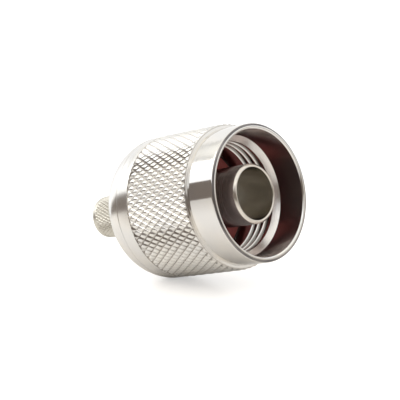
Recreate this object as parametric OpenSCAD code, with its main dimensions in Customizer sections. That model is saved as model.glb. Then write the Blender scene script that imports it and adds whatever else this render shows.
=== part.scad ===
// N type cable plug of the crimp kind: a knurled coupling nut that turns on a body,
// with the body's outer contact, gasket, retaining ring, insulator and crimp stem.
// The mating axis is +X, and the origin is the centre of the outer contact's front face.

/* [Outer contact and body] */
// Radius of the outer contact
contact_r = 4.0; // [3.9:0.01:4.1]
// Bore radius of the outer contact
contact_bore_r = 3.5; // [3.3:0.05:3.6]
// Length of the outer contact in front of the gasket's seat
contact_len = 10.9; // [10:0.1:12]
// Radius of the outer contact's root, inside the gasket
root_r = 4.4; // [4.2:0.05:4.8]
// Chamfer outside the outer contact's tip
tip_chamfer = 0.27; // [0.1:0.01:0.35]
// Chamfer inside the outer contact's tip
tip_lead = 0.08; // [0.02:0.01:0.12]
// Thickness of the flange
flange_t = 1.5; // [1:0.1:2.5]
// Radius of the hub that the nut turns on
hub_r = 6.35; // [6.1:0.05:6.5]
// How far the hub stands behind the nut
hub_proud = 0.6; // [0.2:0.1:1.5]

/* [Coupling nut] */
// How far the nut's mouth stands in front of the outer contact
nut_lead = 1.0; // [0.4:0.1:1.6]
// Radius of the plain collar at the mouth
collar_r = 9.2; // [8.8:0.05:9.3]
// Length of the collar
collar_len = 4.45; // [3:0.05:5]
// Radius over the knurl's points
knurl_r = 9.8; // [9.5:0.05:10.5]
// Depth of the knurl
knurl_depth = 0.3; // [0.15:0.05:0.4]
// Length of the knurled band
knurl_len = 10.9; // [9:0.1:12]
// Diamonds round the knurl
knurl_teeth = 60; // [40:1:72]
// Diamonds along the knurl
knurl_rows = 6; // [4:1:8]
// Radius of the smooth band behind the knurl
band_r = 9.75; // [9.4:0.05:9.8]
// Length of the smooth band
band_len = 2.0; // [1:0.05:3]
// Length of the domed shoulder
dome_len = 4.1; // [3:0.1:5]
// Radius of the dome's bow, seen from the side
dome_bow = 6.0; // [5:0.1:12]
// Radius of the flat face behind the dome
rear_r = 7.2; // [7.2:0.05:7.8]

/* [Coupling thread] */
// Radius of the plain bore that leads to the thread
entry_r = 8.2; // [8:0.05:8.4]
// Depth of the plain bore
entry_depth = 3.9; // [3:0.1:4.5]
// Radius over the thread's crests
thread_r = 7.45; // [7.42:0.01:7.6]
// Length of the threaded bore
thread_len = 4.4; // [3:0.1:5]
// Depth of the relief behind the thread, below the crests
relief_depth = 0.55; // [0.45:0.05:0.7]

/* [Gasket and retaining ring] */
// Thickness of the gasket
gasket_t = 1.5; // [1:0.1:2]
// Distance from the flange to the retaining ring's groove
groove_back = 2.7; // [1.5:0.1:3.5]
// Width of the retaining ring
ring_w = 1.1; // [0.8:0.05:1.5]
// How deep the retaining ring sits in the hub
ring_bite = 0.7; // [0.5:0.05:0.8]
// How far the retaining ring stands out of the hub
ring_stand = 0.45; // [0.3:0.05:0.6]
// Angle of the retaining ring's gap
ring_open = 26; // [10:1:60]

/* [Insulator and crimp stem] */
// Radius of the insulator
insulator_r = 4.3; // [4.1:0.05:4.5]
// Length of the insulator
insulator_len = 5.6; // [4:0.1:7]
// Distance from the gasket's seat back to the insulator's face
insulator_back = 0.7; // [0.5:0.1:2]
// Depth of the ring-shaped recess in the insulator's face
recess_depth = 0.6; // [0.3:0.1:1.2]
// Bore radius for the centre contact
pin_bore_r = 1.55; // [1.3:0.05:1.8]
// Radius of the stem's shoulder
stem_flange_r = 4.6; // [4.5:0.1:5.2]
// Thickness of the stem's shoulder
stem_flange_t = 0.7; // [0.4:0.1:1.2]
// Radius over the stem's fine knurl
stem_r = 3.0; // [2.75:0.05:3.2]
// Length of the stem behind its shoulder
stem_len = 7.3; // [5:0.1:9]
// Bore radius for the cable's dielectric
cable_bore_r = 2.35; // [2:0.05:2.4]
// Depth of the stem's fine knurl
stem_knurl_depth = 0.12; // [0.06:0.02:0.16]
// Diamonds round the stem
stem_teeth = 36; // [24:1:44]
// Diamonds along the stem
stem_rows = 7; // [4:1:9]

/* [Fits] */
// Radial clearance between the nut and the hub
running_gap = 0.05; // [0.02:0.01:0.1]
// Radial clearance of the flange, which goes in through the nut's thread
flange_gap = 0.1; // [0.05:0.05:0.3]
// End play of the nut between the flange and the retaining ring
end_play = 0.1; // [0.05:0.01:0.2]
// Radial clearance over the retaining ring in the nut's groove
groove_gap = 0.2; // [0.1:0.05:0.3]
// Clearance round the pieces that sit in the body
seat_gap = 0.03; // [0.01:0.01:0.05]

/* [Hidden] */
$fn = 96;

// Places along the axis, from the mouth to the cable end
mouth_x = nut_lead;
collar_x = mouth_x - collar_len;
band_x = collar_x - knurl_len;
dome_x = band_x - band_len;
nut_rear_x = dome_x - dome_len;
thread_x = mouth_x - entry_depth - (entry_r - thread_r);
thread_rear_x = thread_x - thread_len;
seat_x = -contact_len;
gasket_x = seat_x + gasket_t;
flange_x = seat_x - flange_t;
groove_x = flange_x - groove_back;
groove_rear_x = groove_x - ring_w - 2 * seat_gap;
hub_x = nut_rear_x - hub_proud;
insulator_x = seat_x - insulator_back;
insulator_rear_x = insulator_x - insulator_len;
stem_x = hub_x - stem_flange_t;
stem_rear_x = stem_x - stem_len;

// Radii that follow from their neighbours
flange_r = thread_r - flange_gap;
relief_r = thread_r + relief_depth;
counterbore_r = insulator_r + seat_gap;
ring_in_r = hub_r - ring_bite;
ring_out_r = hub_r + ring_stand;
groove_r = ring_in_r - seat_gap;
nut_groove_r = ring_out_r + groove_gap;
nut_bore_r = hub_r + running_gap;

// Small edges, chamfers and rounds of the turned pieces
edge = 0.15;
fine_edge = 0.05;
fine_lead = 0.075;
rear_chamfer = 0.3;
bore_lead = 0.45;
lip_round = 0.18;
lip_lead = 0.25;
root_lead = 0.5;
lip_steps = 4;
dome_steps = 10;

// Walls of the insulator's face, round the centre contact's bore and at the rim
boss_wall = 0.7;
face_rim = 0.5;

// Each knurl is rolled on a turned core, which lies just below the knurl's roots
core_drop = 0.05;
stem_core_drop = 0.03;
knurl_sink = 0.32;
knurl_tuck = 0.08;
core_r = knurl_r - knurl_depth - core_drop;
stem_core_r = stem_r - stem_knurl_depth - stem_core_drop;

// How far a cutting tool reaches past what it cuts
overcut = 1;

// Points on a bow of radius r from p to q, which bulges to the left of the way from p to q
function bow(p, q, r, steps) =
    let (
        chord = q - p,
        half = norm(chord) / 2,
        left = [-chord[1], chord[0]] / norm(chord),
        centre = (p + q) / 2 - left * sqrt(r * r - half * half),
        from = atan2(p[1] - centre[1], p[0] - centre[0]),
        sweep = 2 * asin(half / r)
    )
    [for (i = [0:steps]) centre + r * [cos(from - sweep * i / steps), sin(from - sweep * i / steps)]];

// A piece turned on the mating axis, from a half section of [radius, place along X] points
module turned(section) {
    rotate([0, 90, 0]) rotate_extrude() polygon(section);
}

// A band of diamond points cut by two crossing helices. The points alternate with the
// grooves' crossings on a grid of half diamonds, and each square of the grid folds along
// the groove that runs through it. The points at the two ends are half as high.
module diamond_knurl(front_x, rear_x, crest_r, depth, inner_r, teeth, rows) {
    around = 2 * teeth;
    along = 2 * rows;
    root_r = crest_r - depth;
    inner = (along + 1) * around;
    function is_point(i, k) = (i + k) % 2 == 0;
    function is_end(k) = k == 0 || k == along;
    function point_r(k) = is_end(k) ? crest_r - depth / 2 : crest_r;
    function radius(i, k) = is_point(i, k) ? point_r(k) : root_r;
    function at(r, i, x) = [x, r * cos(360 * i / around), r * sin(360 * i / around)];
    function id(i, k) = k * around + i % around;
    function square(a, b, c, d, point) = point ? [[a, b, d], [c, d, b]] : [[a, b, c], [a, c, d]];
    points = [
        for (k = [0:along]) for (i = [0:around - 1])
            at(radius(i, k), i, front_x + (rear_x - front_x) * k / along),
        for (x = [front_x, rear_x]) for (i = [0:around - 1]) at(inner_r, i, x)
    ];
    outside = [
        for (k = [0:along - 1]) for (i = [0:around - 1])
            each square(id(i, k), id(i + 1, k), id(i + 1, k + 1), id(i, k + 1), is_point(i, k))
    ];
    ends_and_inside = [
        for (i = [0:around - 1])
            let (
                j = (i + 1) % around,
                front = inner + i,
                front_next = inner + j,
                rear = front + around,
                rear_next = front_next + around
            )
            each [
                [id(i, 0), front, front_next],
                [id(i, 0), front_next, id(j, 0)],
                [id(i, along), rear_next, rear],
                [id(i, along), id(j, along), rear_next],
                [front, rear, rear_next],
                [front, rear_next, front_next]
            ]
    ];
    polyhedron(points, concat(outside, ends_and_inside), convexity = 6);
}

// The nut's half section, round the outside from the mouth to the rear and back through the bore
function nut_outside() = concat(
    [[entry_r + lip_lead, mouth_x]],
    bow([collar_r - lip_round, mouth_x], [collar_r, mouth_x - lip_round], lip_round, lip_steps),
    [
        [collar_r, collar_x],
        [core_r, collar_x],
        [core_r, band_x],
        [band_r - fine_edge, band_x],
        [band_r, band_x - fine_edge]
    ],
    bow([band_r, dome_x], [rear_r, nut_rear_x], dome_bow, dome_steps),
    [[rear_r - edge, nut_rear_x]]
);

function nut_inside() = [
    [nut_bore_r + bore_lead, nut_rear_x],
    [nut_bore_r, nut_rear_x + bore_lead],
    [nut_bore_r, groove_rear_x - end_play],
    [nut_groove_r, groove_rear_x - end_play],
    [nut_groove_r, groove_x + end_play],
    [nut_bore_r, groove_x + end_play],
    [nut_bore_r, flange_x - end_play],
    [relief_r, flange_x - end_play],
    [relief_r, thread_rear_x - edge],
    [thread_r, thread_rear_x + edge],
    [thread_r, thread_x],
    [entry_r, mouth_x - entry_depth],
    [entry_r, mouth_x - lip_lead]
];

module coupling_nut() {
    color("silver") {
        turned(concat(nut_outside(), nut_inside()));
        diamond_knurl(
            collar_x - knurl_tuck, band_x - knurl_tuck, knurl_r, knurl_depth,
            core_r - knurl_sink, knurl_teeth, knurl_rows
        );
    }
}

// One turning: the outer contact, the flange behind the gasket, and the hub with its groove
module outer_body() {
    color("lightgray") turned([
        [contact_bore_r + tip_lead, 0],
        [contact_r - tip_chamfer, 0],
        [contact_r, -tip_chamfer],
        [contact_r, gasket_x + root_lead],
        [root_r, gasket_x + root_lead - (root_r - contact_r)],
        [root_r, seat_x],
        [flange_r - edge, seat_x],
        [flange_r, seat_x - edge],
        [flange_r, flange_x + edge],
        [flange_r - edge, flange_x],
        [hub_r, flange_x],
        [hub_r, groove_x],
        [groove_r, groove_x],
        [groove_r, groove_rear_x],
        [hub_r, groove_rear_x],
        [hub_r, hub_x + rear_chamfer],
        [hub_r - rear_chamfer, hub_x],
        [counterbore_r + edge, hub_x],
        [counterbore_r, hub_x + edge],
        [counterbore_r, insulator_x],
        [contact_bore_r, insulator_x],
        [contact_bore_r, -tip_lead]
    ]);
}

// A square silicone ring that lies on the flange, round the foot of the outer contact
module gasket() {
    color("firebrick") turned([
        [root_r + seat_gap, seat_x],
        [root_r + seat_gap, gasket_x - edge],
        [root_r + seat_gap + edge, gasket_x],
        [flange_r - edge, gasket_x],
        [flange_r, gasket_x - edge],
        [flange_r, seat_x]
    ]);
}

// An open spring ring: half of it in the hub's groove and half in the nut's
module retaining_ring() {
    ring_front_x = groove_x - seat_gap;
    ring_rear_x = ring_front_x - ring_w;
    color("goldenrod") difference() {
        turned([
            [ring_in_r, ring_front_x],
            [ring_out_r - edge, ring_front_x],
            [ring_out_r, ring_front_x - edge],
            [ring_out_r, ring_rear_x + edge],
            [ring_out_r - edge, ring_rear_x],
            [ring_in_r, ring_rear_x]
        ]);
        gap = 2 * ring_out_r * sin(ring_open / 2);
        translate([ring_rear_x - overcut, -gap / 2, 0])
            cube([ring_w + 2 * overcut, gap, ring_out_r + overcut]);
    }
}

// The dielectric lies against the body's step. The recess in its face leaves a boss
// round the centre contact's bore.
module insulator() {
    color("white") turned([
        [pin_bore_r, insulator_x],
        [pin_bore_r + boss_wall, insulator_x],
        [pin_bore_r + boss_wall, insulator_x - recess_depth],
        [contact_bore_r - face_rim, insulator_x - recess_depth],
        [contact_bore_r - face_rim, insulator_x],
        [insulator_r, insulator_x],
        [insulator_r, insulator_rear_x],
        [pin_bore_r + rear_chamfer, insulator_rear_x],
        [pin_bore_r, insulator_rear_x + rear_chamfer]
    ]);
}

// The stem is pressed into the hub behind the insulator. The cable's dielectric goes
// through its bore, and the braid is crimped on its fine knurl.
module crimp_stem() {
    color("gainsboro") {
        turned([
            [cable_bore_r, insulator_rear_x],
            [insulator_r, insulator_rear_x],
            [insulator_r, hub_x],
            [stem_flange_r - edge, hub_x],
            [stem_flange_r, hub_x - edge],
            [stem_flange_r, stem_x + edge],
            [stem_flange_r - edge, stem_x],
            [stem_core_r, stem_x],
            [stem_core_r, stem_rear_x + edge],
            [stem_core_r - edge, stem_rear_x],
            [cable_bore_r + fine_lead, stem_rear_x],
            [cable_bore_r, stem_rear_x + fine_lead]
        ]);
        diamond_knurl(
            stem_x + knurl_tuck, stem_rear_x + edge, stem_r, stem_knurl_depth,
            (stem_core_r + cable_bore_r) / 2, stem_teeth, stem_rows
        );
    }
}

coupling_nut();
outer_body();
gasket();
retaining_ring();
insulator();
crimp_stem();
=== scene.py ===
"""Dresses the N type cable plug: turned and rolled nickel, the coupling thread, the red gasket
and a pale studio. Every piece is turned or rolled about the mating axis, which is X."""

import math

import bmesh
import bpy
from mathutils import Matrix, Vector


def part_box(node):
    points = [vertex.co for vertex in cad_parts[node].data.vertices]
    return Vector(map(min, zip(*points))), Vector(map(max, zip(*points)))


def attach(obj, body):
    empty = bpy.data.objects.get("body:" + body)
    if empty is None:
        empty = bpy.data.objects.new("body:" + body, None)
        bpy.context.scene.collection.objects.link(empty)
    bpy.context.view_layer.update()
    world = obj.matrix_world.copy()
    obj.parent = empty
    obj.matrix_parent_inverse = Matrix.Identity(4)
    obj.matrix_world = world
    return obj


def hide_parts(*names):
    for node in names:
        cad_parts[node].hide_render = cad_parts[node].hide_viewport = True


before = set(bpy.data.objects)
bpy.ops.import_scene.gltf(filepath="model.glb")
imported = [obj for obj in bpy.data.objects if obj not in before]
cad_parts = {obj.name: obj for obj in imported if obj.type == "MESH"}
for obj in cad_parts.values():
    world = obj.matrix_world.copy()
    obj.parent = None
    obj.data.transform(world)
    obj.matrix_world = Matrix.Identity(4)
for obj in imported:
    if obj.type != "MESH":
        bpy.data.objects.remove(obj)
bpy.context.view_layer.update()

MM = 0.001
ORIGIN = (0.0, 0.0, 0.0)
AXIS = (1.0, 0.0, 0.0)
SILVER = (0.80, 0.79, 0.77)
IVORY = (0.86, 0.83, 0.78)
TURN_STEPS = 240
EDGE = 0.08 * MM
WELD = 0.0001 * MM
CORNER = math.radians(152)

# Places along the axis and radii, from the solids
nut_low, nut_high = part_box("coupling_nut")
gasket_low, gasket_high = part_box("gasket")
ring_low, ring_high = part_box("retaining_ring")
insulator_low, insulator_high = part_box("insulator")
stem_low, stem_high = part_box("crimp_stem")

mouth_x = nut_high.x
nut_rear_x = nut_low.x
knurl_r = nut_high.z
seat_x = gasket_low.x
hub_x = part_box("outer_body")[0].x
stem_rear_x = stem_low.x
insulator_x = insulator_high.x
insulator_rear_x = insulator_low.x
insulator_r = insulator_high.z
gasket_r = gasket_high.z
ring_r = ring_high.y

# The body and what sits in it
contact_r = 4.0 * MM
contact_bore_r = 3.5 * MM
tip_chamfer = 0.27 * MM
tip_lead = 0.08 * MM
root_r = 4.4 * MM
root_x = gasket_high.x + 0.5 * MM
flange_x = seat_x - 1.5 * MM
hub_r = 6.35 * MM
hub_chamfer = 0.3 * MM
groove_r = 5.62 * MM
groove_play = 0.03 * MM
ring_inner_r = hub_r - 0.7 * MM
ring_opening = math.radians(26)
gasket_bore_r = root_r + 0.03 * MM
counterbore_r = insulator_r + 0.03 * MM

# The insulator, with a ring-shaped recess in its front
pin_bore_r = 1.55 * MM
pin_lead = 0.3 * MM
recess_inner_r = pin_bore_r + 0.7 * MM
recess_outer_r = contact_bore_r - 0.5 * MM
recess_x = insulator_x - 0.6 * MM

# The nut, from its mouth to its domed rear
collar_r = 9.2 * MM
collar_x = mouth_x - 4.45 * MM
band_r = 9.75 * MM
band_x = collar_x - 10.9 * MM
dome_x = band_x - 2.0 * MM
dome_bow = 6.0 * MM
dome_steps = 16
bead = 0.14 * MM
rear_r = 7.2 * MM
rear_lead = 0.45 * MM
nut_bore_r = hub_r + 0.05 * MM
nut_groove_r = ring_r + 0.2 * MM
nut_groove_play = 0.13 * MM
flange_gap = 0.1 * MM
entry_r = 8.2 * MM
entry_x = mouth_x - 3.9 * MM
lip_r = 8.45 * MM
lip_round = 0.36 * MM
lip_steps = 5
lip_lead = 0.15 * MM
# Where the lip's outer round gets its painted shade: a near-black tone, not wear.
shaded_lip_x = mouth_x - 0.12 * MM
shaded_lip_r = collar_r - 0.98 * lip_round

# The nut's knurl
knurl_depth = 0.22 * MM
knurl_teeth = 60
knurl_rows = 6.55
knurl_lead = 0.2 * MM
knurl_front_x = collar_x - 0.08 * MM
knurl_rear_x = band_x - 0.04 * MM
core_r = knurl_r - knurl_depth - 0.05 * MM
knurl_inner_r = core_r - 0.3 * MM
# Radii between which the knurl's painted valley shade fades out.
knurl_shade_full_r = knurl_r - 0.21 * MM
knurl_shade_clear_r = knurl_r - 0.10 * MM

# The coupling thread
crest_r = 7.45 * MM
thread_root_r = 7.94 * MM
thread_pitch = 25.4 / 24 * MM
thread_land = 0.3 * MM
thread_lead = 0.28 * MM
thread_run_out = 0.3 * MM
thread_x = entry_x - (entry_r - crest_r) - thread_land
thread_rear_x = thread_x - 3.9 * MM
relief_r = 8.0 * MM

# The crimp stem
cable_bore_r = 2.35 * MM
stem_r = 3.0 * MM
stem_flange_r = stem_high.z
stem_x = hub_x - 0.7 * MM
stem_rim_x = stem_rear_x + 0.9 * MM
stem_rim_r = stem_r - 0.06 * MM
stem_round = 0.5 * MM
stem_round_steps = 8
stem_knurl_depth = 0.12 * MM
stem_knurl_lead = 0.06 * MM
stem_knurl_x = stem_x + 0.08 * MM
stem_teeth = 36
stem_rows = 7
stem_core_r = stem_r - stem_knurl_depth - 0.03 * MM
stem_inner_r = stem_r - 0.3 * MM

# The studio
lean = math.radians(12.7)
floor_half = 1.6
floor_gap = 0.02 * MM


# ---------------------------------------------------------------- material groups


def add_socket(group, name, kind, value=None, output=False):
    side = "OUTPUT" if output else "INPUT"
    socket = group.interface.new_socket(name, in_out=side, socket_type=kind)
    if value is not None:
        socket.default_value = value


def math_node(tree, operation, *values):
    """One step of arithmetic on numbers and sockets."""
    node = tree.nodes.new("ShaderNodeMath")
    node.operation = operation
    for socket, value in zip(node.inputs, values):
        if isinstance(value, (int, float)):
            socket.default_value = value
        else:
            tree.links.new(value, socket)
    return node.outputs[0]


def mapped(tree, value, low, high):
    """0 at low and 1 at high, with a smooth way between."""
    node = tree.nodes.new("ShaderNodeMapRange")
    node.interpolation_type = "SMOOTHSTEP"
    node.inputs["From Min"].default_value = low
    node.inputs["From Max"].default_value = high
    tree.links.new(value, node.inputs["Value"])
    return node.outputs[0]


def toward(tree, vector, direction):
    """How far a vector goes the given way."""
    node = tree.nodes.new("ShaderNodeVectorMath")
    node.operation = "DOT_PRODUCT"
    node.inputs[1].default_value = direction
    tree.links.new(vector, node.inputs[0])
    return node.outputs["Value"]


def turning_marks():
    """The fine rings that a lathe tool leaves, along X on a cylinder and outwards on a face."""
    group = bpy.data.node_groups.new("turning_marks", "ShaderNodeTree")
    add_socket(group, "Rings Per Millimetre", "NodeSocketFloat", 12.0)
    add_socket(group, "Height", "NodeSocketFloat", output=True)
    source = group.nodes.new("NodeGroupInput")
    sink = group.nodes.new("NodeGroupOutput")
    place = group.nodes.new("ShaderNodeTexCoord")
    split = group.nodes.new("ShaderNodeSeparateXYZ")
    group.links.new(place.outputs["Object"], split.inputs[0])
    across = math_node(group, "MULTIPLY", split.outputs["Y"], split.outputs["Y"])
    up = math_node(group, "MULTIPLY", split.outputs["Z"], split.outputs["Z"])
    radius = math_node(group, "SQRT", math_node(group, "ADD", across, up))
    along = math_node(group, "ADD", split.outputs["X"], radius)
    rings = math_node(group, "MULTIPLY", source.outputs[0], 1000.0)
    turns = group.nodes.new("ShaderNodeCombineXYZ")
    group.links.new(math_node(group, "MULTIPLY", along, rings), turns.inputs["X"])
    noise = group.nodes.new("ShaderNodeTexNoise")
    noise.inputs["Scale"].default_value = 1.0
    noise.inputs["Detail"].default_value = 3.0
    noise.inputs["Roughness"].default_value = 0.6
    group.links.new(turns.outputs[0], noise.inputs["Vector"])
    group.links.new(noise.outputs["Fac"], sink.inputs[0])


def mottle():
    """Soft blotches as a mask: slow drifts where Size is small, and a fine grain where it is
    large."""
    group = bpy.data.node_groups.new("mottle", "ShaderNodeTree")
    add_socket(group, "Size", "NodeSocketFloat", 180.0)
    add_socket(group, "Mask", "NodeSocketFloat", output=True)
    source = group.nodes.new("NodeGroupInput")
    sink = group.nodes.new("NodeGroupOutput")
    place = group.nodes.new("ShaderNodeTexCoord")
    noise = group.nodes.new("ShaderNodeTexNoise")
    noise.inputs["Detail"].default_value = 4.0
    group.links.new(place.outputs["Object"], noise.inputs["Vector"])
    group.links.new(source.outputs[0], noise.inputs["Scale"])
    group.links.new(noise.outputs["Fac"], sink.inputs[0])


def radial_fade():
    """0 at one distance from the axis and 1 at another, both in millimetres."""
    group = bpy.data.node_groups.new("radial_fade", "ShaderNodeTree")
    add_socket(group, "From Radius", "NodeSocketFloat", 1.0)
    add_socket(group, "To Radius", "NodeSocketFloat", 2.0)
    add_socket(group, "Mask", "NodeSocketFloat", output=True)
    source = group.nodes.new("NodeGroupInput")
    sink = group.nodes.new("NodeGroupOutput")
    place = group.nodes.new("ShaderNodeTexCoord")
    across = group.nodes.new("ShaderNodeVectorMath")
    across.operation = "MULTIPLY"
    across.inputs[1].default_value = (0.0, 1000.0, 1000.0)
    group.links.new(place.outputs["Object"], across.inputs[0])
    length = group.nodes.new("ShaderNodeVectorMath")
    length.operation = "LENGTH"
    group.links.new(across.outputs[0], length.inputs[0])
    fade = group.nodes.new("ShaderNodeMapRange")
    fade.interpolation_type = "SMOOTHSTEP"
    group.links.new(length.outputs["Value"], fade.inputs["Value"])
    group.links.new(source.outputs[0], fade.inputs["From Min"])
    group.links.new(source.outputs[1], fade.inputs["From Max"])
    group.links.new(fade.outputs[0], sink.inputs[0])


def shared(group_name, tree, **inputs):
    """One of the shared groups, placed in a material's tree with its own values."""
    node = tree.nodes.new("ShaderNodeGroup")
    node.node_tree = bpy.data.node_groups[group_name]
    for name, value in inputs.items():
        node.inputs[name.replace("_", " ").title()].default_value = value
    return node.outputs[0]


def ramp_node(tree, factor, stops):
    node = tree.nodes.new("ShaderNodeValToRGB")
    ramp = node.color_ramp
    while len(ramp.elements) < len(stops):
        ramp.elements.new(0.5)
    for element, (position, colour) in zip(ramp.elements, stops):
        element.position = position
        element.color = (*colour, 1.0)
    tree.links.new(factor, node.inputs[0])
    return node.outputs["Color"]


def new_material(name, metallic, roughness):
    material = bpy.data.materials.new(name)
    material.use_nodes = True
    shader = material.node_tree.nodes["Principled BSDF"]
    shader.inputs["Metallic"].default_value = metallic
    shader.inputs["Roughness"].default_value = roughness
    return material, material.node_tree, shader


def bump_node(tree, shader, height, distance):
    node = tree.nodes.new("ShaderNodeBump")
    node.inputs["Distance"].default_value = distance
    tree.links.new(height, node.inputs["Height"])
    tree.links.new(node.outputs[0], shader.inputs["Normal"])


# ---------------------------------------------------------------- materials


def plated(name, cool, warm, smooth, rough, ring_height, painted_shade=None):
    """Plated metal over a turned surface, which drifts between two tones and two roughnesses. The
    optional last argument is painted shade: a darker tone, with the radius where it is full and
    the one where it ends."""
    material, tree, shader = new_material(name, 1.0, smooth)
    drift = shared("mottle", tree, size=240.0)
    marks = shared("turning_marks", tree, rings_per_millimetre=14.0)
    tone = ramp_node(tree, drift, [(0.35, cool), (0.65, warm)])
    if painted_shade:
        shade_tone, full_r, clear_r = painted_shade
        fade = shared("radial_fade", tree, from_radius=full_r / MM, to_radius=clear_r / MM)
        # Painted shade: the darker tone is mixed in by distance from the axis, full at one radius
        # and gone at another.
        mix = tree.nodes.new("ShaderNodeMix")
        mix.data_type = "RGBA"
        mix.inputs["A"].default_value = (*shade_tone, 1.0)
        tree.links.new(fade, mix.inputs["Factor"])
        tree.links.new(tone, mix.inputs["B"])
        tone = mix.outputs["Result"]
    tree.links.new(tone, shader.inputs["Base Color"])
    spread = tree.nodes.new("ShaderNodeMapRange")
    spread.inputs["From Min"].default_value = 0.3
    spread.inputs["From Max"].default_value = 0.7
    spread.inputs["To Min"].default_value = smooth
    spread.inputs["To Max"].default_value = rough
    tree.links.new(marks, spread.inputs["Value"])
    tree.links.new(spread.outputs[0], shader.inputs["Roughness"])
    bump_node(tree, shader, marks, ring_height)
    return material


def moulded(name, roughness, dark, light, grain_size, grain_height):
    """A moulded part's skin, with a fine grain between two tones."""
    material, tree, shader = new_material(name, 0.0, roughness)
    grain = shared("mottle", tree, size=grain_size)
    tone = ramp_node(tree, grain, [(0.3, dark), (0.7, light)])
    tree.links.new(tone, shader.inputs["Base Color"])
    bump_node(tree, shader, grain, grain_height)
    return material


def bright_nickel():
    """Turned and plated, as on the collar and the lip."""
    return plated("bright_nickel", SILVER, IVORY, 0.05, 0.11, 0.003 * MM)


def satin_nickel():
    """Turned more coarsely, as on the band, the dome and the lead into the thread."""
    return plated("satin_nickel", SILVER, IVORY, 0.15, 0.27, 0.004 * MM)


def shaded_bore_nickel():
    """The nut's inside, toned darker as painted shade, since it sees little but the dark before
    the mouth.
    """
    return plated("shaded_bore_nickel", (0.68, 0.61, 0.60), (0.74, 0.67, 0.65), 0.14, 0.26, 0.004 * MM)


def shaded_lip_nickel():
    """The lip's outer round, with a near-black tone that is painted shade."""
    return plated("shaded_lip_edge", (0.13, 0.12, 0.12), (0.30, 0.28, 0.27), 0.22, 0.34, 0.002 * MM)


def rolled_nickel():
    """The nut's knurl, with painted shade in its valleys: a darker tone towards their floors."""
    painted_shade = ((0.60, 0.57, 0.53), knurl_shade_full_r, knurl_shade_clear_r)
    return plated("rolled_nickel", SILVER, (0.88, 0.86, 0.81), 0.10, 0.18, 0.002 * MM, painted_shade)


def threaded_nickel():
    """The coupling thread, with painted shade between its crests."""
    painted_shade = ((0.26, 0.24, 0.22), crest_r + 0.24 * MM, crest_r + 0.05 * MM)
    return plated("cut_thread", SILVER, IVORY, 0.12, 0.22, 0.002 * MM, painted_shade)


def contact_nickel():
    return plated("contact_nickel", (0.76, 0.71, 0.64), (0.84, 0.79, 0.71), 0.14, 0.24, 0.004 * MM)


def shaded_nickel():
    """The outer contact's outside, deep in the nut, toned darker as painted shade."""
    return plated("shaded_contact", (0.42, 0.35, 0.34), (0.50, 0.42, 0.40), 0.18, 0.30, 0.004 * MM)


def pressed_nickel():
    """The crimp stem, the dullest of the nickel."""
    return plated("pressed_nickel", (0.64, 0.61, 0.54), (0.74, 0.71, 0.63), 0.30, 0.44, 0.004 * MM)


def spring_bronze():
    return plated("spring_bronze", (0.62, 0.42, 0.25), (0.70, 0.50, 0.31), 0.22, 0.34, 0.002 * MM)


def red_silicone():
    dark, light = (0.34, 0.075, 0.065), (0.44, 0.115, 0.10)
    return moulded("red_silicone", 0.42, dark, light, 2600.0, 0.01 * MM)


def white_dielectric():
    dark, light = (0.80, 0.80, 0.78), (0.88, 0.88, 0.86)
    return moulded("white_dielectric", 0.38, dark, light, 1500.0, 0.006 * MM)


# ---------------------------------------------------------------- turned and rolled pieces


def bow(start, end, radius, steps):
    """Points from start to end, both (x, r), on a bow that bulges away from the axis."""
    start, end = Vector(start), Vector(end)
    chord = end - start
    half = chord.length / 2
    out = Vector((chord.y, -chord.x)).normalized()
    if out.y < 0:
        out = -out
    centre = (start + end) / 2 - out * math.sqrt(radius**2 - half**2)
    sweep = 2 * math.asin(half / radius)
    first = start - centre
    side = 1 if first.x * (end - centre).y - first.y * (end - centre).x > 0 else -1
    points = []
    for i in range(steps + 1):
        turned_by = side * sweep * i / steps
        cos, sin = math.cos(turned_by), math.sin(turned_by)
        points.append(
            (
                centre.x + first.x * cos - first.y * sin,
                centre.y + first.x * sin + first.y * cos,
            )
        )
    return points


def is_corner(vert):
    """Whether a section turns sharply at vert, and not as a step along an arc."""
    one, other = (edge.other_vert(vert).co - vert.co for edge in vert.link_edges)
    return one.angle(other) < CORNER


def finish_piece(name, bm, material, sharp):
    """Welds and closes what bm holds into an object, with edges over sharp degrees kept crisp."""
    bmesh.ops.remove_doubles(bm, verts=bm.verts[:], dist=WELD)
    bmesh.ops.recalc_face_normals(bm, faces=bm.faces[:])
    mesh = bpy.data.meshes.new(name)
    bm.to_mesh(mesh)
    bm.free()
    mesh.shade_smooth()
    mesh.set_sharp_from_angle(angle=math.radians(sharp))
    mesh.materials.append(material)
    piece = bpy.data.objects.new(name, mesh)
    bpy.context.scene.collection.objects.link(piece)
    return piece


def weigh_normals(piece):
    """Broad faces keep their own direction, and the small rounds between them take the turn."""
    modifier = piece.modifiers.new("weighted", "WEIGHTED_NORMAL")
    modifier.mode = "FACE_AREA"
    modifier.weight = 60
    modifier.keep_sharp = True


def turned(name, section, material, rounding=EDGE, angle=math.tau):
    """A half section of (x, radius) corners, rounded and spun about the axis."""
    bm = bmesh.new()
    bm.faces.new([bm.verts.new((x, 0.0, r)) for x, r in section])
    corners = [vert for vert in bm.verts if is_corner(vert)]
    bmesh.ops.bevel(
        bm,
        geom=corners,
        offset=rounding,
        offset_type="OFFSET",
        segments=3,
        profile=0.5,
        affect="VERTICES",
        clamp_overlap=True,
        material=-1,
    )
    bmesh.ops.delete(bm, geom=bm.faces[:], context="FACES_ONLY")
    whole = angle >= math.tau
    bmesh.ops.spin(
        bm,
        geom=bm.verts[:] + bm.edges[:],
        cent=ORIGIN,
        axis=AXIS,
        angle=angle,
        steps=TURN_STEPS,
        use_merge=whole,
    )
    if not whole:
        bmesh.ops.holes_fill(bm, edges=[edge for edge in bm.edges if edge.is_boundary], sides=0)
    piece = finish_piece(name, bm, material, sharp=38)
    weigh_normals(piece)
    return piece


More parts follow.
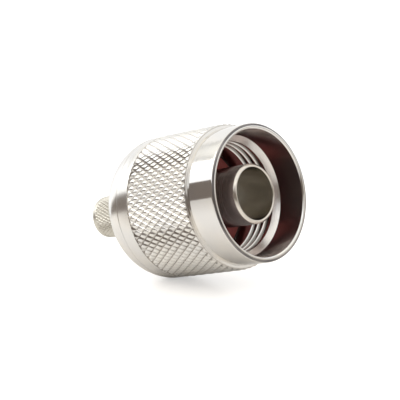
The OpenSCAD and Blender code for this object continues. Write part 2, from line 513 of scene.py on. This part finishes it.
def reline(piece, material, along, radii):
    """Gives material to the faces between two places along the axis and between two radii."""
    materials = piece.data.materials
    if material.name not in materials:
        materials.append(material)
    for face in piece.data.polygons:
        radius = face.center.yz.length
        if along[0] < face.center.x < along[1] and radii[0] < radius < radii[1]:
            face.material_index = materials.find(material.name)


def repeat(bm, count, step):
    """Lays count copies of what bm holds, step apart, the first where it is."""
    source = bm.verts[:] + bm.edges[:] + bm.faces[:]
    for number in range(1, count):
        copy = bmesh.ops.duplicate(bm, geom=source)["geom"]
        moved = [part for part in copy if isinstance(part, bmesh.types.BMVert)]
        bmesh.ops.translate(bm, vec=step * number, verts=moved)


def diamond_sheet(length, width, teeth, rows, depth):
    """A flat sheet of soft diamonds: its X runs along the axis and its Y round the piece. Each
    level of a diamond has a share of its foot's size and a share of the depth."""
    levels = [(0.72, 0.46), (0.48, 0.78), (0.26, 0.95), (0.10, 1.0)]
    bm = bmesh.new()
    pitch = Vector((length / rows, width / teeth, 0.0))
    bmesh.ops.create_circle(bm, segments=4, radius=0.5, cap_ends=True)
    bmesh.ops.scale(bm, vec=(pitch.x, pitch.y, 1.0), verts=bm.verts[:])
    for share, height in levels:
        top = max(bm.faces, key=lambda face: face.calc_center_median().z)
        top = bmesh.ops.extrude_discrete_faces(bm, faces=[top])["faces"][0]
        side = Vector((pitch.x / 2 * share, pitch.y / 2 * share, 0.0))
        for vert in top.verts:
            way = vert.co.xy.normalized()
            vert.co = (round(way.x) * side.x, round(way.y) * side.y, depth * height)
    bmesh.ops.translate(bm, vec=(0.0, pitch.y / 2, 0.0), verts=bm.verts[:])
    second = bmesh.ops.duplicate(bm, geom=bm.verts[:] + bm.edges[:] + bm.faces[:])["geom"]
    second_verts = [part for part in second if isinstance(part, bmesh.types.BMVert)]
    bmesh.ops.translate(bm, vec=(pitch.x / 2, pitch.y / 2, 0.0), verts=second_verts)
    repeat(bm, math.ceil(rows) + 1, Vector((pitch.x, 0.0, 0.0)))
    bmesh.ops.translate(bm, vec=(-pitch.x / 2, 0.0, 0.0), verts=bm.verts[:])
    repeat(bm, teeth, Vector((0.0, pitch.y, 0.0)))
    return bm


def diamond_knurl(name, material, along, radii, depth, lead, teeth, rows):
    """A sheet of diamonds cut to length, rolled up and closed on its inside. The diamonds slope
    down over the lead at each end."""
    rear_x, front_x = along
    inner_r, crest = radii
    length = front_x - rear_x
    bm = diamond_sheet(length, math.tau, teeth, rows, depth)
    for cut, outward in ((0.0, -1.0), (length, 1.0)):
        bmesh.ops.bisect_plane(
            bm,
            geom=bm.verts[:] + bm.edges[:] + bm.faces[:],
            plane_co=(cut, 0.0, 0.0),
            plane_no=(outward, 0.0, 0.0),
            clear_outer=True,
        )
    valley_r = crest - depth
    for vert in bm.verts:
        from_end = min(vert.co.x, length - vert.co.x)
        height = min(vert.co.z, depth - lead + from_end) if from_end < lead else vert.co.z
        radius, angle = valley_r + max(height, 0.0), vert.co.y
        vert.co = (rear_x + vert.co.x, radius * math.cos(angle), radius * math.sin(angle))
    bmesh.ops.remove_doubles(bm, verts=bm.verts[:], dist=20 * WELD)
    rims = [edge for edge in bm.edges if edge.is_boundary]
    walls = bmesh.ops.extrude_edge_only(bm, edges=rims)["geom"]
    for vert in (part for part in walls if isinstance(part, bmesh.types.BMVert)):
        inward = Vector((0.0, vert.co.y, vert.co.z)).normalized() * inner_r
        vert.co = (vert.co.x, inward.y, inward.z)
    bmesh.ops.bridge_loops(bm, edges=[edge for edge in bm.edges if edge.is_boundary])
    return finish_piece(name, bm, material, sharp=50)


def thread_ridge(name, material):
    """The coupling thread's ridge, a right-handed helix that stands in from the nut's wall."""
    bm = bmesh.new()
    foot = [(0.40, thread_root_r + 0.1 * MM), (0.40, thread_root_r)]
    crest = [(0.10, crest_r + 0.02 * MM), (0.05, crest_r)]
    flank = foot + crest
    section = [(-share * thread_pitch, r) for share, r in flank]
    section += [(share * thread_pitch, r) for share, r in reversed(flank)]
    turns = (thread_x - thread_rear_x) / thread_pitch
    steps = round(turns * TURN_STEPS / 2)
    bm.faces.new([bm.verts.new((thread_rear_x + x, 0.0, r)) for x, r in section])
    bmesh.ops.delete(bm, geom=bm.faces[:], context="FACES_ONLY")
    bmesh.ops.spin(
        bm,
        geom=bm.verts[:] + bm.edges[:],
        cent=ORIGIN,
        axis=AXIS,
        dvec=(turns * thread_pitch / steps, 0.0, 0.0),
        angle=turns * math.tau,
        steps=steps,
    )
    bmesh.ops.holes_fill(bm, edges=[edge for edge in bm.edges if edge.is_boundary], sides=0)
    piece = finish_piece(name, bm, material, sharp=30)
    weigh_normals(piece)
    return piece


# ---------------------------------------------------------------- the pieces' half sections


def nut_section():
    outside = [(mouth_x, lip_r + lip_lead)]
    outside += bow(
        (mouth_x, collar_r - lip_round), (mouth_x - lip_round, collar_r), lip_round, lip_steps
    )
    outside += [
        (collar_x, collar_r),
        (collar_x, core_r),
        (band_x, core_r),
        (band_x, band_r),
        (dome_x + bead, band_r),
        (dome_x + bead, band_r - bead / 2),
        (dome_x, band_r - bead / 2),
    ]
    outside += bow((dome_x, band_r), (nut_rear_x, rear_r), dome_bow, dome_steps)
    inside = [
        (nut_rear_x, nut_bore_r + rear_lead),
        (nut_rear_x + rear_lead, nut_bore_r),
        (ring_low.x - nut_groove_play, nut_bore_r),
        (ring_low.x - nut_groove_play, nut_groove_r),
        (ring_high.x + nut_groove_play, nut_groove_r),
        (ring_high.x + nut_groove_play, nut_bore_r),
        (flange_x - flange_gap, nut_bore_r),
        (flange_x - flange_gap, relief_r),
        (thread_rear_x - thread_run_out, relief_r),
        (thread_rear_x, thread_root_r),
        (thread_x - thread_lead, thread_root_r),
        (thread_x, crest_r),
        (thread_x + thread_land, crest_r),
        (entry_x, entry_r),
        (mouth_x - lip_lead, lip_r),
    ]
    return outside + inside


def body_section():
    return [
        (0.0, contact_bore_r + tip_lead),
        (0.0, contact_r - tip_chamfer),
        (-tip_chamfer, contact_r),
        (root_x, contact_r),
        (root_x - (root_r - contact_r), root_r),
        (seat_x, root_r),
        (seat_x, gasket_r),
        (flange_x, gasket_r),
        (flange_x, hub_r),
        (ring_high.x + groove_play, hub_r),
        (ring_high.x + groove_play, groove_r),
        (ring_low.x - groove_play, groove_r),
        (ring_low.x - groove_play, hub_r),
        (hub_x + hub_chamfer, hub_r),
        (hub_x, hub_r - hub_chamfer),
        (hub_x, counterbore_r),
        (insulator_x, counterbore_r),
        (insulator_x, contact_bore_r),
        (-tip_lead, contact_bore_r),
    ]


def gasket_section():
    return [
        (seat_x, gasket_bore_r),
        (gasket_high.x, gasket_bore_r),
        (gasket_high.x, gasket_r),
        (seat_x, gasket_r),
    ]


def ring_section():
    return [
        (ring_high.x, ring_inner_r),
        (ring_high.x, ring_r),
        (ring_low.x, ring_r),
        (ring_low.x, ring_inner_r),
    ]


def insulator_section():
    return [
        (insulator_x, pin_bore_r),
        (insulator_x, recess_inner_r),
        (recess_x, recess_inner_r),
        (recess_x, recess_outer_r),
        (insulator_x, recess_outer_r),
        (insulator_x, insulator_r),
        (insulator_rear_x, insulator_r),
        (insulator_rear_x, pin_bore_r + pin_lead),
        (insulator_rear_x + pin_lead, pin_bore_r),
    ]


def stem_section():
    rim = bow(
        (stem_rear_x + stem_round, stem_rim_r),
        (stem_rear_x, stem_rim_r - stem_round),
        stem_round,
        stem_round_steps,
    )
    return [
        (insulator_rear_x, cable_bore_r),
        (insulator_rear_x, insulator_r),
        (hub_x, insulator_r),
        (hub_x, stem_flange_r),
        (stem_x, stem_flange_r),
        (stem_x, stem_core_r),
        (stem_rim_x, stem_core_r),
        (stem_rim_x, stem_rim_r),
        *rim,
        (stem_rear_x, cable_bore_r),
    ]


# ---------------------------------------------------------------- the pieces


def fit(piece, body, node):
    """Hangs a piece on its body, in place of its node in the solids."""
    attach(piece, body)
    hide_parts(node)


def fit_nut():
    shell = turned("nut_shell", nut_section(), bright_nickel())
    satin = satin_nickel()
    inside = (flange_x - 2 * flange_gap, mouth_x - 1.2 * lip_lead)
    # Painted shade: the walls inside the nut take a darker tone.
    reline(shell, shaded_bore_nickel(), inside, (nut_bore_r, lip_r + EDGE))
    reline(shell, satin, (thread_x + thread_land, entry_x), (crest_r, entry_r))
    # Painted shade: the lip's outer round takes a near-black tone.
    reline(shell, shaded_lip_nickel(), (shaded_lip_x, mouth_x), (shaded_lip_r, math.inf))
    reline(shell, satin, (nut_rear_x, band_x), (nut_bore_r + 2 * EDGE, math.inf))
    fit(shell, "nut", "coupling_nut")
    knurl = diamond_knurl(
        "nut_knurl",
        rolled_nickel(),
        along=(knurl_rear_x, knurl_front_x),
        radii=(knurl_inner_r, knurl_r),
        depth=knurl_depth,
        lead=knurl_lead,
        teeth=knurl_teeth,
        rows=knurl_rows,
    )
    fit(knurl, "nut", "coupling_nut")
    fit(thread_ridge("nut_thread", threaded_nickel()), "nut", "coupling_nut")


def fit_body():
    contact = turned("contact_body", body_section(), contact_nickel(), EDGE / 2)
    outside = (gasket_high.x, -1.5 * tip_chamfer)
    # Painted shade: the contact's outside takes a darker tone.
    reline(contact, shaded_nickel(), outside, (contact_r - EDGE, root_r + EDGE))
    fit(contact, "body", "outer_body")


def fit_gasket():
    gasket = turned("face_gasket", gasket_section(), red_silicone(), 2 * EDGE)
    fit(gasket, "body", "gasket")


def fit_ring():
    """The spring ring that holds the nut is open over a small angle near the top."""
    ring = turned("snap_ring", ring_section(), spring_bronze(), angle=math.tau - ring_opening)
    ring.data.transform(Matrix.Rotation(-ring_opening / 2, 4, "X"))
    fit(ring, "body", "retaining_ring")


def fit_insulator():
    insulator = turned("pin_insulator", insulator_section(), white_dielectric())
    fit(insulator, "body", "insulator")


def fit_stem():
    pressed = pressed_nickel()
    fit(turned("cable_stem", stem_section(), pressed), "body", "crimp_stem")
    knurl = diamond_knurl(
        "stem_knurl",
        pressed,
        along=(stem_rim_x, stem_knurl_x),
        radii=(stem_inner_r, stem_r),
        depth=stem_knurl_depth,
        lead=stem_knurl_lead,
        teeth=stem_teeth,
        rows=stem_rows,
    )
    fit(knurl, "body", "crimp_stem")


def build_plug():
    turning_marks()
    mottle()
    radial_fade()
    fit_nut()
    fit_body()
    fit_gasket()
    fit_ring()
    fit_insulator()
    fit_stem()


# ---------------------------------------------------------------- studio


def floor_material():
    """Pale, warm and barely glossy. The camera sees it white, but for shadows. Metal sees it end
    not far behind the plug, with the dark room over its edge."""
    material, tree, shader = new_material("studio_floor", 0.0, 0.22)
    shader.inputs["Base Color"].default_value = (0.84, 0.81, 0.77, 1.0)
    shader.inputs["Specular IOR Level"].default_value = 0.25
    path = tree.nodes.new("ShaderNodeLightPath")
    glow = tree.nodes.new("ShaderNodeEmission")
    glow.inputs["Color"].default_value = (1.0, 1.0, 1.0, 1.0)
    seen = math_node(tree, "MULTIPLY", path.outputs["Is Camera Ray"], 0.45)
    tree.links.new(seen, glow.inputs["Strength"])
    sheet = tree.nodes.new("ShaderNodeAddShader")
    tree.links.new(shader.outputs[0], sheet.inputs[0])
    tree.links.new(glow.outputs[0], sheet.inputs[1])
    place = tree.nodes.new("ShaderNodeTexCoord")
    away = toward(tree, place.outputs["Object"], (-0.91, 0.41, 0.0))
    past = mapped(tree, away, 0.050, 0.062)
    gone = math_node(tree, "MULTIPLY", past, path.outputs["Is Glossy Ray"])
    nothing = tree.nodes.new("ShaderNodeBsdfTransparent")
    ended = tree.nodes.new("ShaderNodeMixShader")
    tree.links.new(gone, ended.inputs[0])
    tree.links.new(sheet.outputs[0], ended.inputs[1])
    tree.links.new(nothing.outputs[0], ended.inputs[2])
    tree.links.new(ended.outputs[0], tree.nodes["Material Output"].inputs["Surface"])
    return material


def studio_floor():
    """The plug leans back on the rear edge of its band, so the sheet slopes against its axis."""
    bm = bmesh.new()
    bmesh.ops.create_grid(bm, x_segments=1, y_segments=1, size=floor_half)
    for vert in bm.verts:
        vert.co.z = (dome_x - vert.co.x) * math.tan(lean) - band_r - floor_gap
    mesh = bpy.data.meshes.new("studio_floor")
    bm.to_mesh(mesh)
    bm.free()
    mesh.materials.append(floor_material())
    floor = bpy.data.objects.new("studio_floor", mesh)
    bpy.context.scene.collection.objects.link(floor)


def colour_mix(tree, factor, first, second):
    """first where factor is 0, and the plain colour second where it is 1."""
    node = tree.nodes.new("ShaderNodeMix")
    node.data_type = "RGBA"
    tree.links.new(factor, node.inputs["Factor"])
    tree.links.new(first, node.inputs["A"])
    node.inputs["B"].default_value = second
    return node.outputs["Result"]


def room_colours(tree):
    """What bright metal sees: a pale room that is dark low down beside the camera, under the
    slanting edge of a broad white panel, and dark before the mouth. The ramp runs from straight
    down at 0 to straight up at 1, with a thin dark rail high up."""
    place = tree.nodes.new("ShaderNodeTexCoord")
    way = place.outputs["Generated"]
    height = toward(tree, way, (0.0, 0.0, 1.0))
    room = [
        (0.0, (0.30, 0.27, 0.23)),
        (0.49, (0.45, 0.42, 0.38)),
        (0.51, (0.74, 0.74, 0.74)),
        (0.73, (0.76, 0.76, 0.76)),
        (0.845, (0.80, 0.80, 0.80)),
        (0.853, (0.30, 0.29, 0.26)),
        (0.862, (0.88, 0.88, 0.86)),
        (0.90, (0.86, 0.85, 0.82)),
        (1.0, (0.76, 0.75, 0.73)),
    ]
    pale = ramp_node(tree, math_node(tree, "MULTIPLY_ADD", height, 0.5, 0.5), room)
    under_panel = mapped(tree, toward(tree, way, (0.14, 0.563, 1.0)), 0.0, -0.012)
    camera_side = mapped(tree, toward(tree, way, (-0.242, -0.970, 0.0)), -0.30, -0.15)
    gap = math_node(tree, "MULTIPLY", under_panel, camera_side)
    before_mouth = mapped(tree, toward(tree, way, (0.966, -0.259, -0.2)), 0.60, 0.82)
    dim = math_node(tree, "MULTIPLY", before_mouth, 0.85)
    dark = math_node(tree, "MAXIMUM", gap, dim)
    panel_side = mapped(tree, toward(tree, way, (-0.69, -0.72, 0.0)), 0.35, 0.50)
    under_rail = mapped(tree, height, 0.70, 0.68)
    panel = math_node(tree, "MULTIPLY", panel_side, under_rail)
    bright = colour_mix(tree, panel, pale, (1.0, 1.0, 1.0, 1.0))
    return colour_mix(tree, dark, bright, (0.150, 0.127, 0.112, 1.0))


def studio_world():
    """White to the camera, the room to bright metal and a plain pale light to all else."""
    world = bpy.data.worlds.new("studio")
    world.use_nodes = True
    tree = world.node_tree
    tree.nodes.clear()
    path = tree.nodes.new("ShaderNodeLightPath")
    room = tree.nodes.new("ShaderNodeBackground")
    room.inputs["Strength"].default_value = 1.35
    tree.links.new(room_colours(tree), room.inputs["Color"])
    plain = tree.nodes.new("ShaderNodeBackground")
    plain.inputs["Color"].default_value = (1.0, 1.0, 1.0, 1.0)
    plain.inputs["Strength"].default_value = 1.05
    white = tree.nodes.new("ShaderNodeBackground")
    white.inputs["Color"].default_value = (1.0, 1.0, 1.0, 1.0)
    light = plain
    for ray, other in (("Is Glossy Ray", room), ("Is Camera Ray", white)):
        chosen = tree.nodes.new("ShaderNodeMixShader")
        tree.links.new(path.outputs[ray], chosen.inputs[0])
        tree.links.new(light.outputs[0], chosen.inputs[1])
        tree.links.new(other.outputs[0], chosen.inputs[2])
        light = chosen
    out = tree.nodes.new("ShaderNodeOutputWorld")
    tree.links.new(light.outputs[0], out.inputs["Surface"])
    bpy.context.scene.world = world


def softbox(name, place, size, power):
    """A lamp with a rectangular face, turned to the nut."""
    light = bpy.data.lights.new(name, "AREA")
    light.shape = "RECTANGLE"
    light.size, light.size_y = size
    light.energy = power
    lamp = bpy.data.objects.new(name, light)
    lamp.location = place
    lamp.rotation_mode = "QUATERNION"
    aim = Vector((-0.008, 0.0, 0.0)) - Vector(place)
    lamp.rotation_quaternion = aim.to_track_quat("-Z", "Y")
    bpy.context.scene.collection.objects.link(lamp)


def studio_camera():
    """The camera stands 200 mm from the mouth, 48.6 degrees off the mating axis. The mating axis,
    the plug's upward way and the mouth's place are given as the camera has them: to its right,
    down and ahead."""
    mating = Vector((0.713, -0.116, -0.6915)).normalized()
    up = Vector((-0.177, -0.984, -0.018))
    mouth = Vector((7.985, -0.988, 200.0)) * MM
    up = (up - mating * up.dot(mating)).normalized()
    from_camera = Matrix((mating, up.cross(mating), up))
    place = Vector((mouth_x, 0.0, 0.0)) - from_camera @ mouth
    right_down_ahead = Matrix(((1, 0, 0), (0, -1, 0), (0, 0, -1)))
    data = bpy.data.cameras.new("camera")
    data.sensor_width = 36.0
    data.lens = 137.924
    data.clip_start, data.clip_end = 0.01, 20.0
    camera = bpy.data.objects.new("camera", data)
    camera.matrix_world = Matrix.Translation(place) @ (from_camera @ right_down_ahead).to_4x4()
    bpy.context.scene.collection.objects.link(camera)
    bpy.context.scene.camera = camera


def build_studio():
    studio_floor()
    studio_world()
    softbox("key_softbox", (-0.16, -0.20, 0.30), (0.30, 0.20), 0.30)
    softbox("mouth_softbox", (0.30, -0.10, 0.16), (0.20, 0.20), 0.06)
    studio_camera()
    bpy.context.scene.view_settings.view_transform = "Standard"


build_plug()
build_studio()
